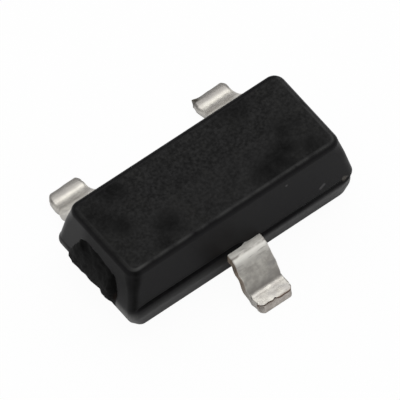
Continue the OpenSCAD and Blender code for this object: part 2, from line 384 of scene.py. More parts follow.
under = [rows[::-1] for rows in cap(0, UNDER_ROWS)]
over = cap(-1, OVER_ROWS)
half_x, half_y, plan_corner, level = (np.concatenate(blocks) for blocks in zip(
    under, (half_x, half_y, plan_corner, level), over))
edge_tilt = np.concatenate([np.full(UNDER_ROWS, np.pi / 2), edge_tilt, np.zeros(OVER_ROWS)])[:, None]
lean = np.clip((level - PARTING) / (BODY_TOP - PARTING), 0, 1)
body = np.stack([along * (half_x - plan_corner) + plan_corner * np.cos(facing) + LEAN[0] * lean,
                 across * (half_y - plan_corner) + plan_corner * np.sin(facing) + LEAN[1] * lean, level], -1)
print("moulding grid", body.shape, "size", np.ptp(body.reshape(-1, 3), axis=0).round(3))

# %% [markdown]
# On its left end the moulding keeps the stub of the gate, the channel through which the compound was pressed
# in. The gate was snapped off, so the stub has two horns, a hollow between them and a torn pit beside it. It
# could be a separate lump, but pushing the end wall out by a function of place keeps the moulding one closed
# skin. A lip line says how far the stub reaches at each Y, and a crest line how high the break runs.

# %% Broken gate on the left end
LIP = 0.40
STUB_FOOT = 0.32
SHELF_FLARE = 0.006
RAGGED_CELL = 0.16
CREST_RAGGED = 0.025
LIP_RAGGED = 0.006
CREST_STEP = 0.008
FULL = 0.999
lip_places = [-0.370, -0.300, -0.265, -0.205, -0.140, -0.020, 0.066, 0.210, 0.283, 0.366, 0.410]
lip_reach = [1.455, 1.500, 1.512, 1.508, 1.478, 1.497, 1.491, 1.506, 1.517, 1.495, 1.455]
crest_places = [-0.390, -0.336, -0.270, -0.200, -0.030, 0.170, 0.260, 0.343, 0.410]
crest_levels = [0.550, 0.650, 0.740, 0.785, 0.803, 0.815, 0.750, 0.585, 0.400]

left_end = np.where(along < -FULL, np.clip(-np.cos(facing), 0, 1), 0)
on_end = left_end > FULL
x, y, z = np.moveaxis(body, -1, 0)
body[..., 0] -= SHELF_FLARE * left_corner * smooth_step(0.72, 0.46, z) * smooth_step(0.15, 0.30, z)
ragged = rough(body, RAGGED_CELL)
crest = np.interp(y, crest_places, crest_levels) + CREST_RAGGED * ragged
lip = np.interp(y, lip_places, lip_reach) + LIP_RAGGED * ragged
fall = np.clip((crest - z) / np.maximum(crest - LIP, 0.02), 0, 1)
wall_at_crest = corner_x + upper_wall(crest) - LEAN[0] * (crest - PARTING) / (BODY_TOP - PARTING)
face_reach = wall_at_crest + (lip - wall_at_crest) * fall + CREST_STEP * smooth_step(0, 0.12, fall)
under_lip = -x + (lip + x) * smooth_step(STUB_FOOT, LIP, z)
stub_reach = np.where(z < LIP, under_lip, face_reach)
inside = on_end & (z < crest) & (z > STUB_FOOT) & (y > lip_places[0]) & (y < lip_places[-1])
broken = np.where(inside & (stub_reach > -x), 1.0, 0.0)
print("the break covers", int(broken.sum()), "points of the grid")

# %% [markdown]
# Where the gate tore away it took some compound with it: a narrow, slanted pit in front of the stub and a
# shallow hole under its crest. Both are ellipses on the end wall, pressed in by a depth. A Boolean would cut
# them too, but it leaves ragged triangles, and here each also gives its own mask.

# %% Pit and hole beside the stub
PIT_Y, PIT_Z = -0.305, 0.60
PIT_HALF_Y, PIT_HALF_Z = 0.050, 0.17
PIT_SLANT = 0.16
PIT_TAPER = 0.10
PIT_DEPTH = 0.06
TEAR_CELL = 0.11
HOLE_Y, HOLE_Z = 0.19, 0.755
HOLE_HALF_Y, HOLE_HALF_Z = 0.10, 0.075
HOLE_DEPTH = 0.025
TEAR_DEPTH = 0.012

up_pit = z - PIT_Z
pit_across = (y - PIT_Y - PIT_SLANT * up_pit) / (PIT_HALF_Y - PIT_TAPER * up_pit)
pit = np.clip(1 - pit_across**2 - (up_pit / PIT_HALF_Z)**2, 0, 1) ** 0.5 * on_end
hole = np.clip(1 - ((y - HOLE_Y) / HOLE_HALF_Y)**2 - ((z - HOLE_Z) / HOLE_HALF_Z)**2, 0, 1) * on_end
hole = hole * smooth_step(-0.01, 0.03, crest - z)
torn_x = -stub_reach - TEAR_DEPTH * rough(body, TEAR_CELL, 2)
body[..., 0] = np.where(broken > 0, torn_x, body[..., 0]) + PIT_DEPTH * pit + HOLE_DEPTH * hole
broken = np.maximum(broken, np.maximum(pit, hole))
print("stub reaches", round(-body[..., 0].min(), 3), "mm from the middle")

# %% [markdown]
# The finish has to know where it is: on the top, on an edge that gets a painted highlight, on broken
# compound, on a band of painted shade, or low on the walls where painted light stands for light thrown up
# by the floor. Each of these is a mask, one number per point, kept on the mesh as an attribute. Painting by
# place in the shader would do too, but the rows and columns already know which edge or corner they belong
# to.

# %% Masks of the top and of its edges
CORNER_FACING = 1.34 * np.pi
top_mask = smooth_step(0.12, 0.02, edge_tilt) + 0 * level
on_wall = smooth_step(0.5, 1.2, edge_tilt)
far_side = smooth_step(0.3, 0.9, np.sin(facing))
edge_mask = bell(edge_tilt, 0.34, 0.25) * (1 - 0.9 * far_side) + 0 * level
# Painted shade: these bands dull the far rim and the rim of the left end.
far_band = 0.6 * far_side * smooth_step(0.05, 0.3, edge_tilt) * (edge_tilt < 1.5) + 0 * level
rim_band = 0.65 * left_end * edge_mask
print("top mask covers", int(top_mask.sum()), "points, edge mask", int(edge_mask.sum()))

# %% [markdown]
# Painted shade lies in bands along the near left corner, the crease, the left end and the rims, where the
# walls are made dark and dull. Low down, most of all under the left end, a painted light stands for the
# light thrown up by the white floor. Each band is a bell or a step across the rows times a step along the
# columns, and the strongest band counts.

# %% Bands of painted shade, and painted floor light low on the walls
near_corner = (along < -FULL) & (across < -FULL)
# Painted shade: each band darkens and dulls the wall where it lies.
corner_band = np.where(near_corner, bell(facing, CORNER_FACING, 0.36), 0)
corner_band = corner_band * smooth_step(PARTING, PARTING + 0.06, level) * smooth_step(0.3, 0.9, edge_tilt)
crease_band = near * bell(level, crease, 0.04) * (0.35 + 0.65 * left_of_lead) * along_front
crease_band = crease_band * smooth_step(1.1, 0.5, place_x)
end_band = 0.5 * left_end * smooth_step(0.32, 0.12, y) * on_wall
end_band = end_band * (1 - smooth_step(-0.1, -0.3, y) * smooth_step(0.80, 0.45, level))
turned_right = (along > FULL) & (across < -FULL)
right_band = 0.35 * np.where(turned_right, smooth_step(0.15, 0.55, np.cos(facing)), 0)
right_band = right_band * smooth_step(crease, crease + 0.04, level) * on_wall
painted_shade = np.max([0.9 * corner_band, 0.7 * crease_band, end_band, rim_band, far_band, right_band], axis=0)

low_left = np.maximum(left_corner, 0.80 * far_left)
faint = np.maximum(smooth_step(0.4, 1.1, place_x), np.maximum(left_corner, far_left))
# Painted light: a pale colour low on the walls stands for the light the white floor throws up.
painted_floor_light = 0.18 + 0.82 * low_left * np.clip(-1.1 * np.cos(facing), 0, 1)
painted_floor_light = painted_floor_light * smooth_step(0, -0.13, level - crease - 0.03 * faint)
painted_floor_light = painted_floor_light + 0.05 * bell(edge_tilt, 0.95, 0.3) * (1 - far_side)
moulding = grid_piece("moulded_body_skin", body, {
    "broken": broken, "top": top_mask, "edge": edge_mask, "pit": np.maximum(pit, 0.6 * hole),
    "painted_shade": painted_shade, "painted_floor_light": painted_floor_light})

# %% [markdown]
# Each lead is one strip of the lead frame: level inside the moulding, bent down at the shoulder, straight
# down the slope, bent level again at the heel, and cut off at the end of the foot. So a lead is a section
# carried along a bent path. The path is two arcs, a line between them and the level foot, and every station
# also knows how far it leans and how far along the foot it lies. A curve object with a bevel would give the
# bends too, but not the cut end or the masks.

# %% Path of a lead
WALL = BODY_WIDTH / 2
BEND_STEPS = 18
SLOPE_STEPS = 22
FOOT_STEPS = 24
FOOT_CROWDING = 1.6


def lead_path(form):
    """Stations from shoulder to tip: outward place, level, lean from level, and share of the foot.

    The shoulder and the heel are arcs, the slope between them is straight, and the foot is level.
    """
    bend = np.radians(form["bend"])
    shoulder_radius = form["shoulder"] + STRIP / 2
    heel_radius = form["heel"] + STRIP / 2
    turn = np.linspace(0, bend, BEND_STEPS)
    shoulder = np.stack([WALL + form["root"] + shoulder_radius * np.sin(turn),
                         FRAME_MIDDLE - shoulder_radius * (1 - np.cos(turn)), turn, 0 * turn], 1)
    slope_fall = FRAME_FOOT - (shoulder_radius + heel_radius) * (1 - np.cos(bend))
    slope_run = slope_fall * np.array([1 / np.tan(bend), -1])
    share = even(SLOPE_STEPS)[:, None]
    slope = np.hstack([shoulder[-1, :2] + slope_run * share, bend + 0 * share, 0 * share])
    heel_end = shoulder[-1, 0] + slope_run[0] + heel_radius * np.sin(bend)
    turn = turn[::-1]
    heel = np.stack([heel_end - heel_radius * np.sin(turn), STRIP / 2 + heel_radius * (1 - np.cos(turn)),
                     turn, 0 * turn], 1)
    foot_share = 1 - (1 - np.linspace(0, 1, FOOT_STEPS + 1)[1:])**FOOT_CROWDING
    flat = 0 * foot_share
    foot = np.stack([heel_end + flat, STRIP / 2 + flat, flat, foot_share], 1)
    return np.concatenate([shoulder, slope, heel, foot])


print("a lead's path has", 2 * BEND_STEPS + SLOPE_STEPS + FOOT_STEPS, "stations")

# %% [markdown]
# The section is a rectangle whose edges were rounded by the stamping tool. Along the foot every point runs
# out to the line where the strip was cut: that line is slanted by the shear, rounded at the two corners of
# the tip, and on the back leads the foot's underside lifts and its upper side droops towards the tip.

# %% Section of a lead
SIDE_COLUMNS = 7
FACE_COLUMNS = 41
ROLL_COLUMNS = 10
side_x, side_z, side_facing = outline(even(SIDE_COLUMNS), even(FACE_COLUMNS), even(SIDE_COLUMNS),
                                      even(FACE_COLUMNS), ROLL_COLUMNS)
opposite = np.roll(np.arange(len(side_x))[::-1], -SIDE_COLUMNS)


def round_off(over, radius):
    """How far a rounded corner draws back from a square one, at a distance past the start of the round."""
    return np.clip(over, 0, radius)**2 / radius


def strip_rows(stations, left, right_side, form):
    """The lead's section at every station: across the strip in X, and square to the path in the YZ plane."""
    place, height, lean, foot = (column[:, None] for column in np.asarray(stations).T)
    bottom_roll, top_roll = form["rolls"]
    left_round, right_round = form["corners"]
    roll = bottom_roll + (top_roll - bottom_roll) * smooth_step(-1, 1, side_z)
    middle = ((right_side - left) / 2)[:, None]
    half = ((right_side + left) / 2)[:, None]
    lateral = middle + side_x * (half - roll) + roll * np.cos(side_facing)
    normal = side_z * (STRIP / 2 - roll) + roll * np.sin(side_facing) + 0 * place
    upper_share = normal / STRIP + 0.5
    draw_back = np.where(lateral < middle, round_off(middle - lateral - half + left_round, left_round),
                         round_off(lateral - middle - half + right_round, right_round))
    cut = form["end"] - form["shear"] * upper_share - draw_back
    outward = place + normal * np.sin(lean) + foot * (cut - place)
    thinned = foot**2 * (form["sled"] * (1 - upper_share) - form["droop"] * upper_share)
    return np.stack([lateral, outward, height + normal * np.cos(lean) + thinned], -1)


def end_rows(row, count):
    """Rows that close an end: a section shrinks to the line midway between its upper and lower sides."""
    line = (row + row[opposite]) / 2
    centre = (line[:, 0].min() + line[:, 0].max()) / 2
    reach_in = np.ptp(row[:, 0]) / 2 - np.ptp(row[:, 2]) / 2
    line[:, 0] = centre + np.clip(line[:, 0] - centre, -reach_in, reach_in)
    share = (np.arange(1, count + 1) / count)[:, None, None]
    return row + (line - row) * share


print(len(side_x), "columns round a lead")

# %% [markdown]
# A stamped strip is never quite straight, so its two sides wander a little, and on one lead the stub of a
# tie bar widens the slope. The masks say where the plating is creased, browned or sheared, and where
# painted highlight and painted shade lie on it.
# Most depend only on how far along the strip a row lies or which way a column faces, so each is one bell or
# one step, and no painting is needed.

# %% Sides of a lead, and masks of its plating
WAVE = 0.008
WAVE_CELL = 0.12
SIDE_SHIFT = (3.1, 5.7)
END_STEPS = 6
INNER_STEPS = 4
BURR_SPREAD = 0.6
BROWNING = np.array([0.15, 0.3, 0.5, 0.8, 1.0, 0.9, 0.5])[:, None]


def strip_sides(inner, place, walk, form):
    """Distance of the left and the right side from the strip's middle, at inner and outer stations."""
    flare = smooth_step(0.7, 0.95, walk)
    dam = smooth_step(0.58, 0.36, walk)
    for side in (0, 1):
        wave_place = np.stack([walk, 0 * walk + place, 0 * walk + SIDE_SHIFT[side]], -1)
        wave = WAVE * rough(wave_place, WAVE_CELL, 2)
        width = form["sides"][side] + wave + form["dam"][side] * dam + form["flare"][side] * flare
        yield np.concatenate([[row[1 + side] for row in inner], width])


def plating_masks(shape, first, path, walk, upper, spike, form):
    """The masks of one lead, one number per point; walk goes from 0 at the shoulder to 1 at the tip."""
    # The shoulder and band masks place painted highlights, and the heel and tip masks painted shade.
    formed = {
        "root": bell(walk, 0, 0.04), "crease": bell(walk, 0.05, 0.014), "shoulder": bell(walk, 0.08, 0.10),
        "heel": bell(walk, 0.50, 0.07), "band": form["painted_foot_light"] * bell(walk, 0.648, 0.04),
        "tip": form["painted_foot_light"] * smooth_step(0.65, 0.74, walk),
    }
    shares = {share: np.zeros(shape) for share in ("cut", "burnt", "burr", *formed)}
    for share, values in formed.items():
        shares[share][first:-END_STEPS] = values[:, None]
    shares["cut"][-END_STEPS:] = 1
    shares["burnt"][-END_STEPS - 5:-END_STEPS + 2] = BROWNING * upper * form["brown"]
    shares["burr"][first:-END_STEPS] = smooth_step(0.45, 0.75, path[:, 3])[:, None] * spike**BURR_SPREAD
    shares["burr"][-END_STEPS:] = spike**BURR_SPREAD
    shares["sheared"] = np.zeros(shape) + smooth_step(0.75, 1, np.abs(np.cos(side_facing)))
    return shares


# %% [markdown]
# The cut end is jagged along its upper edge, with a notch in the front lead and a burr on one back lead. The
# last few rows are drawn out or back for it, less and less away from the end, and then both ends are closed.
# The front lead is made facing back, like the others, and turned half a turn about the upright axis.

# %% One lead
NOTCH_PLACE, NOTCH_HALF = 0.027, 0.028
BURR_PLACE, BURR_HALF = -0.145, 0.032
BURR_OUT, BURR_ASIDE = 0.6, 0.7
JAG_CELL = 0.13
JAG_SHIFT = 9
TOWARDS_END = np.array([0.1, 0.3, 0.6, 1.0])[:, None]


def lead_piece(name, inner, place, turned, form):
    """One lead: inner stations as (outward place, left, right), then the formed part, both ends closed."""
    path = lead_path(form)
    walk = np.linspace(0, 1, len(path))
    stations = np.concatenate([[[at, FRAME_MIDDLE, 0, 0] for at, _, _ in inner], path])
    rows = strip_rows(stations, *strip_sides(inner, place, walk, form), form)
    end = rows[-1]
    upper = smooth_step(-0.2, 0.6, side_z)
    jag = form["jag"] * rough(end * [1, 0, 0] + [JAG_SHIFT * place, 0, 0], JAG_CELL) * upper
    jag = jag - form["notch"] * bell(end[:, 0], NOTCH_PLACE, NOTCH_HALF) * upper
    spike = bell(end[:, 0], BURR_PLACE, BURR_HALF) * upper * (form["burr"] > 0)
    last = slice(-len(TOWARDS_END), None)
    rows[last, :, 1] += TOWARDS_END * (jag + BURR_OUT * form["burr"] * spike)
    rows[last, :, 0] -= BURR_ASIDE * TOWARDS_END * form["burr"] * spike
    rows = np.concatenate([end_rows(rows[0], INNER_STEPS)[::-1], rows, end_rows(rows[-1], END_STEPS)])
    shares = plating_masks(rows.shape[:2], INNER_STEPS + len(inner), path, walk, upper, spike, form)
    if turned:
        rows = rows * [-1, -1, 1]
    return grid_piece(name, rows + [place, 0, 0], shares)


# %% [markdown]
# All three leads come from the same functions. Inside, the front lead ends as the pad that carries the chip,
# and each back lead as a bonding post with an anchor to one side. Outside they differ as the photograph
# shows: the front lead is bent sharply and cut square, and the back leads have a wide heel and a round tip.
# A form lists what one lead has of its own: its bend in degrees, its radii, reaches and unevenness in
# millimetres, how strongly its tip is browned, and how strongly painted highlight and painted shade lie on
# its foot.

# %% The three leads
LEAD_WIDTH = 0.40
PAD_FRONT = 0.35
PAD_BACK = -0.25
PAD_HALF = 0.55
POST_DEPTH = 0.46
POST_END = WALL - POST_DEPTH
ANCHOR_DEPTH = 0.24
ANCHOR_REACH = 0.12
LEAD_PITCH = 1.90
half_lead = LEAD_WIDTH / 2
anchor = half_lead + ANCHOR_REACH

pad = [(PAD_BACK, PAD_HALF, PAD_HALF), (PAD_FRONT, PAD_HALF, PAD_HALF), (PAD_FRONT, half_lead, half_lead)]
post = [(POST_END, half_lead, anchor), (POST_END + ANCHOR_DEPTH, half_lead, anchor),
        (POST_END + ANCHOR_DEPTH, half_lead, half_lead)]
mirrored_post = [(at, outer, inner) for at, inner, outer in post]
collector_form = {
    "bend": 52, "shoulder": 0.08, "root": 0.020, "heel": 0.08, "end": 1.22, "shear": 0.020, "droop": 0.0,
    "sled": 0.0, "corners": (0.05, 0.06), "rolls": (0.020, 0.016), "sides": (0.200, 0.229),
    "dam": (0.0, 0.004), "flare": (0.0, -0.009), "jag": 0.020, "notch": 0.022, "burr": 0.0, "brown": 1.0,
    "painted_foot_light": 0.0,
}
base_form = {
    "bend": 48, "shoulder": 0.08, "root": 0.010, "heel": 0.20, "end": 1.238, "shear": 0.0, "droop": 0.030,
    "sled": 0.035, "corners": (0.05, 0.05), "rolls": (0.055, 0.045), "sides": (0.200, 0.240),
    "dam": (0.0, 0.0), "flare": (0.0, -0.005), "jag": 0.006, "notch": 0.0, "burr": 0.030, "brown": 0.0,
    "painted_foot_light": 0.9,
}
emitter_form = {**base_form, "corners": (0.06, 0.05), "dam": (0.065, 0.0), "flare": (-0.025, -0.005),
                "burr": 0.0}
collector = lead_piece("collector_lead_strip", pad, 0.0, True, collector_form)
base = lead_piece("base_lead_strip", post, LEAD_PITCH / 2, False, base_form)
emitter = lead_piece("emitter_lead_strip", mirrored_post, -LEAD_PITCH / 2, False, emitter_form)

# %% [markdown]
# Shader maths reads best as sums and products. This small class wraps one output of a node, and each
# operator adds the Math node that does it. Every other node is made by one method of the finish that owns
# it, so a finish is written down like a formula instead of being wired socket by socket.

# %% Arithmetic on sockets
class Wire:
    """One output of a node, which can be used in sums, products and powers with numbers and other wires."""

    def __init__(self, finish, socket):
        self.finish = finish
        self.socket = socket

    def __add__(self, other):
        return self.finish.maths("ADD", self, other)

    def __sub__(self, other):
        return self.finish.maths("SUBTRACT", self, other)

    def __rsub__(self, other):
        return self.finish.maths("SUBTRACT", other, self)

    def __mul__(self, other):
        return self.finish.maths("MULTIPLY", self, other)

    def __truediv__(self, other):
        return self.finish.maths("DIVIDE", self, other)

    def __pow__(self, other):
        return self.finish.maths("POWER", self, other)

    __radd__ = __add__
    __rmul__ = __mul__

    def rise(self, low, high):
        """0 below low, 1 above high, and a smooth rise between."""
        settings = {"interpolation_type": "SMOOTHSTEP"}
        values = {"Value": self, "From Min": low, "From Max": high}
        return self.finish.node("ShaderNodeMapRange", settings, values)

    def clip(self):
        """The wire held between 0 and 1."""
        return self.finish.node("ShaderNodeClamp", {}, {"Value": self})


# %% [markdown]
# A finish is a material with its nodes, and the room round the part is made the same way. Every pattern
# reads Object coordinates scaled to millimetres, so a number of cells is a number to the millimetre, and a
# place is the place on the part.

# %% Finishes and their nodes
class Finish:
    """A material, or a world, and the nodes that make it."""

    def __init__(self, name, owners=bpy.data.materials):
        self.owner = owners.new(name)
        self.owner.use_nodes = True
        self.tree = self.owner.node_tree
        self.tree.nodes.clear()
        self.place = self.node("ShaderNodeVectorMath", {"operation": "SCALE"},
                               {0: self.node("ShaderNodeTexCoord", {}, {}, "Object"), "Scale": 1 / MM})

    def node(self, kind, settings, values, output=0):
        """A node of a kind: its settings, then values or wires for its sockets; gives one of its outputs."""
        made = self.tree.nodes.new(kind)
        for key, value in settings.items():
            setattr(made, key, value)
        for key, value in values.items():
            if isinstance(value, Wire):
                self.tree.links.new(value.socket, made.inputs[key])
            else:
                made.inputs[key].default_value = value
        return Wire(self, made.outputs[output]) if made.outputs else None

    def maths(self, operation, first, second):
        """One Math node on two numbers or wires."""
        return self.node("ShaderNodeMath", {"operation": operation}, {0: first, 1: second})

    def mask(self, name):
        """A per-point share stored on the mesh."""
        return self.node("ShaderNodeAttribute", {"attribute_name": name}, {}, "Fac")

    def noise(self, per_mm, detail=3.0, roughness=0.55):
        """Noise between 0 and 1 with so many cells to a millimetre."""
        return self.node("ShaderNodeTexNoise", {},
                         {"Vector": self.place, "Scale": per_mm, "Detail": detail, "Roughness": roughness})

    def axis(self, name):
        """X, Y or Z of the surface in millimetres."""
        return self.node("ShaderNodeSeparateXYZ", {}, {0: self.place}, name)

    def spot(self, centre, radius):
        """1 at a place, falling evenly to 0 at a radius in millimetres."""
        settings = {"operation": "DISTANCE"}
        far = self.node("ShaderNodeVectorMath", settings, {0: self.place, 1: centre}, "Value")
        return (1 - far / radius).clip()

    def mix(self, share, first, second):
        """Colour that goes from first to second as share goes from 0 to 1."""
        return self.node("ShaderNodeMix", {"data_type": "RGBA"}, {0: share, 6: first, 7: second}, 2)

    def bump(self, height, distance_mm, strength):
        """Normal of a relief whose full height is a distance in millimetres."""
        values = {"Height": height, "Distance": distance_mm * MM, "Strength": strength}
        return self.node("ShaderNodeBump", {}, values)

    def surface(self, values):
        """A surface shader with the given inputs."""
        return self.node("ShaderNodeBsdfPrincipled", {}, values)

    def blend(self, share, first, second):
        """Shader that goes from first to second as share goes from 0 to 1."""
        return self.node("ShaderNodeMixShader", {}, {0: share, 1: first, 2: second})

    def close(self, shader, output="ShaderNodeOutputMaterial"):
        """Puts the output at the end of the nodes, and says how many there are."""
        self.node(output, {}, {"Surface": shader})
        print(self.owner.name, "has", len(self.tree.nodes), "nodes")


def grey(value):
    """A colour with the same red, green and blue."""
    return (value, value, value, 1)


# %% [markdown]
# The moulding compound is black epoxy filled with fine sand. Where the mould's polished walls touched it, it
# has a satin skin. The top was left matte. Where the gate broke off there is no skin at all, so the stub is
# rougher. A low specular level keeps the black deep when it faces the light, and at a grazing angle the skin
# still picks up the white floor, which lights the lower edge together with a painted light low on the walls.
# Four noises of different sizes serve the whole finish: using the same ones for colour and for relief makes
# flecks and bumps fall together.

# %% Masks and noises of the moulding
compound = Finish("moulding_compound_finish")
top_share = compound.mask("top")
edge_share = compound.mask("edge")
broken_share = compound.mask("broken")
pit_share = compound.mask("pit")
painted_shade_share = compound.mask("painted_shade")
grain = compound.noise(18, 3.0, 0.6)
fine = compound.noise(44, 2.0, 0.5)
sand = compound.noise(30, 2.0, 0.5)
cloud = compound.noise(6.5, 4.0, 0.65)
print("the moulding's finish starts with", len(compound.tree.nodes), "nodes")

# %% [markdown]
# The grains of sand show on the top as grey flecks on black, and handling has left dark smudges there. Each
# smudge is a soft spot whose edge is broken up by noise, given by its place, its radius and its depth, and
# where two overlap the darker one counts. A painted picture could hold them too, but a formula has no pixels
# and needs no file. The top is also a little darker towards the front.

# %% Grain and smudges of the top
SMUDGES = [
    (-1.23, 0.28, 0.17, 0.52), (-1.20, 0.13, 0.17, 0.58), (-1.12, 0.02, 0.14, 0.70),
    (-0.94, 0.41, 0.18, 0.70), (-0.70, -0.28, 0.17, 0.76), (-0.86, -0.42, 0.12, 0.60),
    (0.68, 0.42, 0.19, 0.50), (0.50, -0.40, 0.17, 0.92), (0.66, -0.37, 0.17, 1.00),
    (0.79, -0.27, 0.16, 0.80), (0.93, -0.10, 0.16, 0.56), (1.05, -0.42, 0.14, 0.60),
]
SMUDGE_SPREAD = 1.7
SMUDGE_EDGE = (0.95, 1.9)
FRONT_SHADE = 0.26
VIOLET_SAND = (0.0248, 0.0243, 0.0262, 1)
YELLOW_SAND = (0.0253, 0.0253, 0.0232, 1)

smudge = cloud.rise(0.52, 0.68) * 0.10
for smudge_x, smudge_y, radius, depth in SMUDGES:
    spot = compound.spot((smudge_x, smudge_y, BODY_TOP), SMUDGE_SPREAD * radius)
    blurred = (spot + cloud + 0.6 * sand).rise(*SMUDGE_EDGE)
    smudge = compound.maths("MAXIMUM", smudge, depth * blurred)
fleck = (0.85 * sand + 0.15 * fine).rise(0.12, 0.88)
hue = compound.mix(compound.noise(3.5), VIOLET_SAND, YELLOW_SAND)
hue = compound.mix(FRONT_SHADE - FRONT_SHADE * compound.axis("Y").rise(-0.5, 0.5), hue, grey(0.0))
top_colour = compound.mix(fleck ** 1.3, grey(0.0008), hue)
grime = compound.mix(fleck ** 2, grey(0.0), grey(0.0110))
top_colour = compound.mix(smudge, top_colour, grime)
print(len(SMUDGES), "smudges on the top")

# %% [markdown]
# The walls are darker and smoother than the top, and low down they carry a painted light that stands for the
# light thrown up by the floor. The top edges carry a painted highlight, brightest at the near corner. Then
# comes the wear: one grey speck and one short scratch on the front wall, and a chipped lower corner at the
# right. The scratch is a box in two turned coordinates, with soft sides.

# %% Walls, painted highlights and wear
WALL_DARK = (0.0026, 0.0024, 0.0030, 1)
WALL_LIGHT = (0.0042, 0.0038, 0.0048, 1)
FLOOR_LIGHT_PAINT = (0.150, 0.149, 0.147, 1)
EDGE_HIGHLIGHT_PAINT = (0.036, 0.036, 0.035, 1)
CORNER_HIGHLIGHT_PAINT = (0.052, 0.052, 0.051, 1)
SCRATCHED = (0.062, 0.060, 0.062, 1)
CHIPPED = (0.078, 0.069, 0.061, 1)
SCRATCH_X, SCRATCH_Z = 1.02, 0.528
SCRATCH_COS, SCRATCH_SIN = 0.868, 0.497

wall_colour = compound.mix(compound.noise(9), WALL_DARK, WALL_LIGHT)
painted_floor_light_share = compound.mask("painted_floor_light") * (0.65 + 0.7 * grain)
# Painted light from the floor, mixed in low on the walls.
wall_colour = compound.mix(painted_floor_light_share.clip(), wall_colour, FLOOR_LIGHT_PAINT)
colour = compound.mix(top_share, wall_colour, top_colour)
# Painted highlight: the top edges are made lighter, most of all at the near left corner.
edge_highlight_paint = edge_share * compound.noise(6, 3.0, 0.6).rise(0.2, 0.65)
bright_corner = compound.spot((-1.33, -0.56, 1.02), 0.28) * edge_share
colour = compound.mix((edge_highlight_paint * 0.95).clip(), colour, EDGE_HIGHLIGHT_PAINT)
colour = compound.mix(bright_corner.rise(0.1, 0.8), colour, CORNER_HIGHLIGHT_PAINT)
speck = compound.spot((0.59, -0.578, 0.90), 0.022).rise(0.1, 0.6)
from_x = compound.axis("X") - SCRATCH_X
from_z = compound.axis("Z") - SCRATCH_Z
on_front = 1 - compound.axis("Y").rise(-0.60, -0.58)
scratch_run = compound.maths("ABSOLUTE", SCRATCH_COS * from_x + SCRATCH_SIN * from_z, 0)
scratch_side = compound.maths("ABSOLUTE", SCRATCH_COS * from_z - SCRATCH_SIN * from_x, 0)
scratch = (1 - scratch_run.rise(0.028, 0.052)) * (1 - scratch_side.rise(0.010, 0.028)) * on_front
colour = compound.mix((speck + scratch).clip(), colour, SCRATCHED)
chip = (compound.spot((1.30, -0.64, 0.430), 0.068) + 0.5 * grain).rise(0.62, 0.90)
colour = compound.mix(chip, colour, CHIPPED)
roughness = 0.30 + 0.30 * top_share + 0.06 * compound.noise(16)
relief = compound.bump(0.7 * sand + 0.3 * fine, 0.006, 0.06 + 0.20 * top_share)
skin = compound.surface({"Base Color": colour, "Roughness": roughness, "Specular IOR Level": 0.100,
                         "Normal": relief})
print("with its wear the finish has", len(compound.tree.nodes), "nodes")

# %% [markdown]
# Torn compound has no skin and hardly shines. It is painted near black in the pit and the hole, as painted
# shade in those hollows, paler low down along the lip of the stub, and a brown stain sits beside the pit.
# The same dull, dark shader serves the bands of painted shade on the walls and the smudges, so one mask
# blends between skin and that shader.

# %% Broken compound and bands of painted shade
LIP_LEVELS = (0.44, 0.68)
STAINED = (0.013, 0.009, 0.007, 1)

torn_colour = compound.mix(compound.noise(16, 3.0, 0.6).rise(0.3, 0.7), grey(0.0010), grey(0.0070))
lip_share = (1 - compound.axis("Z").rise(*LIP_LEVELS)) * broken_share
lip_colour = compound.mix(fine.rise(0.3, 0.7), grey(0.0095), grey(0.0240))
torn_colour = compound.mix(0.9 * lip_share, torn_colour, lip_colour)
# Painted shade: the pit and the hole are made nearly black.
torn_colour = compound.mix(pit_share, torn_colour, grey(0.0010))
torn_colour = compound.mix(top_share, torn_colour, grime)
stain = compound.spot((-1.46, -0.37, 0.47), 0.09).rise(0.2, 0.7) * broken_share
torn_colour = compound.mix(stain, torn_colour, STAINED)
tear_and_shade = compound.surface({"Base Color": torn_colour, "Roughness": 0.7, "Specular IOR Level": 0.06})
# Painted shade: the bands of painted shade take the dark, dull shader of the torn compound.
bare_and_shaded_share = (broken_share + painted_shade_share + smudge * top_share).clip()
compound.close(compound.blend(bare_and_shaded_share, skin, tear_and_shade))

# %% [markdown]
# The leads are copper alloy with a thin matte tin plating. Bending left it creased at the wall. A painted
# highlight brightens the shoulder and a narrow band of each back lead's foot, and painted shade greys the
# heel and the tips of the back leads. Drawn-out noise gives the fine scores across a strip. Each of these is
# a mix of the colour so far with one more colour.

# %% Plating of the leads
TIN_DARK = (0.52, 0.495, 0.455, 1)
TIN_LIGHT = (0.76, 0.735, 0.675, 1)
TIN_PATCH = (0.40, 0.385, 0.38, 1)
SHOULDER_HIGHLIGHT_PAINT = (0.93, 0.91, 0.85, 1)
CREASE_BROWN = (0.16, 0.14, 0.12, 1)
HEEL_SHADE_PAINT = (0.34, 0.32, 0.30, 1)
TIP_SHADE_PAINT = (0.27, 0.257, 0.243, 1)
FOOT_HIGHLIGHT_PAINT = (0.80, 0.77, 0.69, 1)
SCORE_BROWN = (0.27, 0.24, 0.22, 1)
STREAK_CELLS = (4.0, 26.0, 26.0)

tin = Finish("tinned_lead_finish")
mottle = tin.noise(14, 4.0, 0.6)
patches = tin.noise(6, 3.0, 0.6)
streaked = tin.node("ShaderNodeVectorMath", {"operation": "MULTIPLY"}, {0: tin.place, 1: STREAK_CELLS})
streak = tin.node("ShaderNodeTexNoise", {},
                  {"Vector": streaked, "Scale": 1.0, "Detail": 3.0, "Roughness": 0.6})
plating = tin.mix(mottle.rise(0.3, 0.75), TIN_DARK, TIN_LIGHT)
plating = tin.mix(patches.rise(0.48, 0.72) * 0.6, plating, TIN_PATCH)
# Painted highlight on the shoulder.
plating = tin.mix(tin.mask("shoulder") * 0.85, plating, SHOULDER_HIGHLIGHT_PAINT)
plating = tin.mix(tin.mask("crease") * patches.rise(0.2, 0.6), plating, CREASE_BROWN)
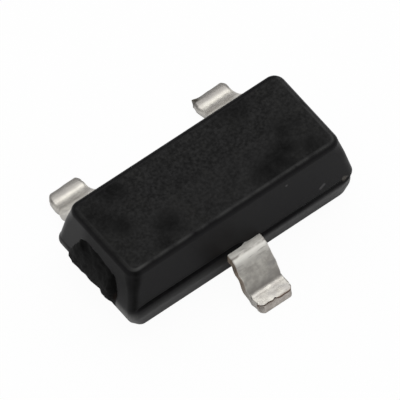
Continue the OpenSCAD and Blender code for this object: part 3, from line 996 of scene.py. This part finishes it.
# Painted shade on the heel.
plating = tin.mix(tin.mask("heel") * 0.6, plating, HEEL_SHADE_PAINT)
# Painted shade on the outer part of the back leads' feet.
plating = tin.mix(tin.mask("tip") * (0.62 + 0.5 * mottle).clip(), plating, TIP_SHADE_PAINT)
# Painted highlight: a narrow band across each back lead's foot, next to the heel.
plating = tin.mix(tin.mask("band") * (0.15 + 0.6 * patches.rise(0.40, 0.60)), plating, FOOT_HIGHLIGHT_PAINT)
scored = streak.rise(0.52, 0.66) * (0.25 + 0.45 * tin.mask("shoulder"))
plating = tin.mix(scored * 0.75, plating, SCORE_BROWN)
print("the plating takes", len(tin.tree.nodes), "nodes")

# %% [markdown]
# The plating was put on before the strip was cut, so the end of each foot and the sheared sides show bare,
# browned metal, brownest along the upper edge of the front lead's cut. The burr is nearly black. The metal
# is less of a mirror at the shoulder and at the wall, where the plating is matte.

# %% Sheared sides, cut ends and browned edges
SIDE_TIN = (0.56, 0.54, 0.51, 1)
SIDE_BROWN = (0.36, 0.26, 0.18, 1)
CUT_DARK = (0.44, 0.40, 0.365, 1)
CUT_LIGHT = (0.66, 0.62, 0.58, 1)
BURNT_BROWN = (0.100, 0.052, 0.032, 1)
BURR_DARK = (0.080, 0.074, 0.060, 1)

front_root = tin.axis("Y").rise(-1.05, -0.85) * (1 - tin.axis("Y").rise(-0.5, -0.4))
side_metal = tin.mix(front_root * patches.rise(0.3, 0.5), SIDE_TIN, SIDE_BROWN)
bare = tin.mix(mottle.rise(0.3, 0.7), CUT_DARK, CUT_LIGHT)
metal = tin.mix(tin.mask("sheared") * 0.8, plating, side_metal)
metal = tin.mix(tin.mask("cut"), metal, bare)
metal = tin.mix(tin.mask("burnt") * mottle.rise(0.2, 0.4), metal, BURNT_BROWN)
metal = tin.mix(tin.mask("burr"), metal, BURR_DARK)
tin_roughness = 0.34 + 0.18 * mottle + 0.1 * tin.mask("cut")
tin_relief = tin.bump(0.5 * tin.noise(9, 3.0) + 0.3 * tin.noise(30, 2.0) + 0.2 * streak, 0.012, 0.45)
tin_metallic = 1 - (0.6 * tin.mask("shoulder") + 0.4 * tin.mask("root")).clip()
tin.close(tin.surface({"Base Color": metal, "Metallic": tin_metallic, "Roughness": tin_roughness,
                       "Normal": tin_relief}))

# %% [markdown]
# The chip, its solder layer and its two wires are sealed in the moulding and never seen, but the part keeps
# them, so each gets the finish of the real thing. All three are a noise between two colours and a second,
# finer noise in the roughness, so one function makes them.

# %% Finishes of the sealed pieces
def sealed_finish(name, tone_cells, dark, light, metallic, polish, haze, haze_cells):
    """Colour goes from dark to light with one noise; roughness is polish plus haze times another."""
    finish = Finish(name)
    tone = finish.mix(finish.noise(tone_cells), dark, light)
    blur = polish + haze * finish.noise(haze_cells)
    finish.close(finish.surface({"Base Color": tone, "Metallic": metallic, "Roughness": blur}))
    return finish


attach = sealed_finish("die_solder_finish", 30, (0.42, 0.42, 0.41, 1), (0.62, 0.62, 0.60, 1),
                       metallic=1.0, polish=0.4, haze=0.2, haze_cells=40)
silicon = sealed_finish("silicon_finish", 20, (0.05, 0.055, 0.07, 1), (0.11, 0.11, 0.14, 1),
                        metallic=0.4, polish=0.12, haze=0.15, haze_cells=50)
gold = sealed_finish("bond_wire_finish", 60, (0.78, 0.55, 0.18, 1), (0.90, 0.70, 0.30, 1),
                     metallic=1.0, polish=0.2, haze=0.15, haze_cells=80)

# %% [markdown]
# Now every piece gets its finish and its place in the frame. The four new surfaces ride on the one body and
# stand in for the solids they were fitted to; the four sealed pieces are the solids themselves.

# %% Finishes on pieces, and pieces on the frame
def dress(piece, finish):
    """Gives a piece one finish in place of all it had."""
    piece.data.materials.clear()
    piece.data.materials.append(finish.owner)


for piece, node, slot, finish in [
    (moulding, "moulded_body", "moulding_compound", compound),
    (collector, "collector_lead", "tinned_lead", tin),
    (base, "base_lead", "tinned_lead", tin),
    (emitter, "emitter_lead", "tinned_lead", tin),
]:
    dress(piece, finish)
    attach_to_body(piece, "root")
    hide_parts(node)

for node, slot, finish in [
    ("die_attach", "die_solder", attach),
    ("silicon_die", "silicon", silicon),
    ("base_wire", "bond_wire", gold),
    ("emitter_wire", "bond_wire", gold),
]:
    dress(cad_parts[node], finish)
print(len(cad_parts), "nodes in the frame, all dressed")

# %% [markdown]
# The part lies on white paper. To the camera the paper is white light, with a small share of its real shade
# left, so that the part casts a shadow on it. To the part it is a plain white sheet, which lights the walls
# from below. Making it white with more lamps instead would wash out the part.

# %% Floor
FLOOR_HALF = 0.12
CAMERA_SHARE = 0.96
GLOSSY_SHARE = 0.05
CLEAR_SHARE = 0.93

floor_mesh = bpy.data.meshes.new("floor")
floor_mesh.from_pydata([(-FLOOR_HALF, -FLOOR_HALF, 0), (FLOOR_HALF, -FLOOR_HALF, 0),
                        (FLOOR_HALF, FLOOR_HALF, 0), (-FLOOR_HALF, FLOOR_HALF, 0)], [], [(0, 1, 2, 3)])
floor = bpy.data.objects.new("floor", floor_mesh)
bpy.context.scene.collection.objects.link(floor)
paper = Finish("white_paper")
seen = paper.node("ShaderNodeLightPath", {}, {}, "Is Camera Ray") * CAMERA_SHARE
seen = seen + paper.node("ShaderNodeLightPath", {}, {}, "Is Glossy Ray") * GLOSSY_SHARE
seen = seen + paper.node("ShaderNodeLightPath", {}, {}, "Is Transmission Ray") * CLEAR_SHARE
shade = paper.node("ShaderNodeBsdfDiffuse", {}, {"Color": grey(0.9)})
glow = paper.node("ShaderNodeEmission", {}, {"Color": grey(1.0), "Strength": 1.0})
paper.close(paper.blend(seen.clip(), shade, glow))
dress(floor, paper)

# %% [markdown]
# The light is one broad panel above the part and a dim room around it. The bright panel gives the flat parts
# of the leads their cream colour, and the dim room gives their slopes the grey. Small lamps would leave hard
# spots on the metal. The room is white only where the camera looks past the floor.

# %% Room and lamp
ROOM_LEVEL = 0.36
PANEL_LEVEL = 1.35
PANEL_SIDE = 0.15
PANEL_PLACE = (0.035, 0.045, 0.08)

room = Finish("room", bpy.data.worlds)
room_level = ROOM_LEVEL + (1 - ROOM_LEVEL) * room.node("ShaderNodeLightPath", {}, {}, "Is Camera Ray")
backdrop = room.node("ShaderNodeBackground", {}, {"Color": grey(1.0), "Strength": room_level})
room.close(backdrop, "ShaderNodeOutputWorld")
bpy.context.scene.world = room.owner

panel_data = bpy.data.lights.new("panel", "AREA")
panel_data.size = PANEL_SIDE
panel_data.energy = PANEL_LEVEL * np.pi * PANEL_SIDE**2
panel = bpy.data.objects.new("panel", panel_data)
panel.location = PANEL_PLACE
bpy.context.scene.collection.objects.link(panel)
bpy.context.scene.view_settings.view_transform = "Standard"
print("panel of", round(panel_data.energy, 4), "watts in a room of level", ROOM_LEVEL)
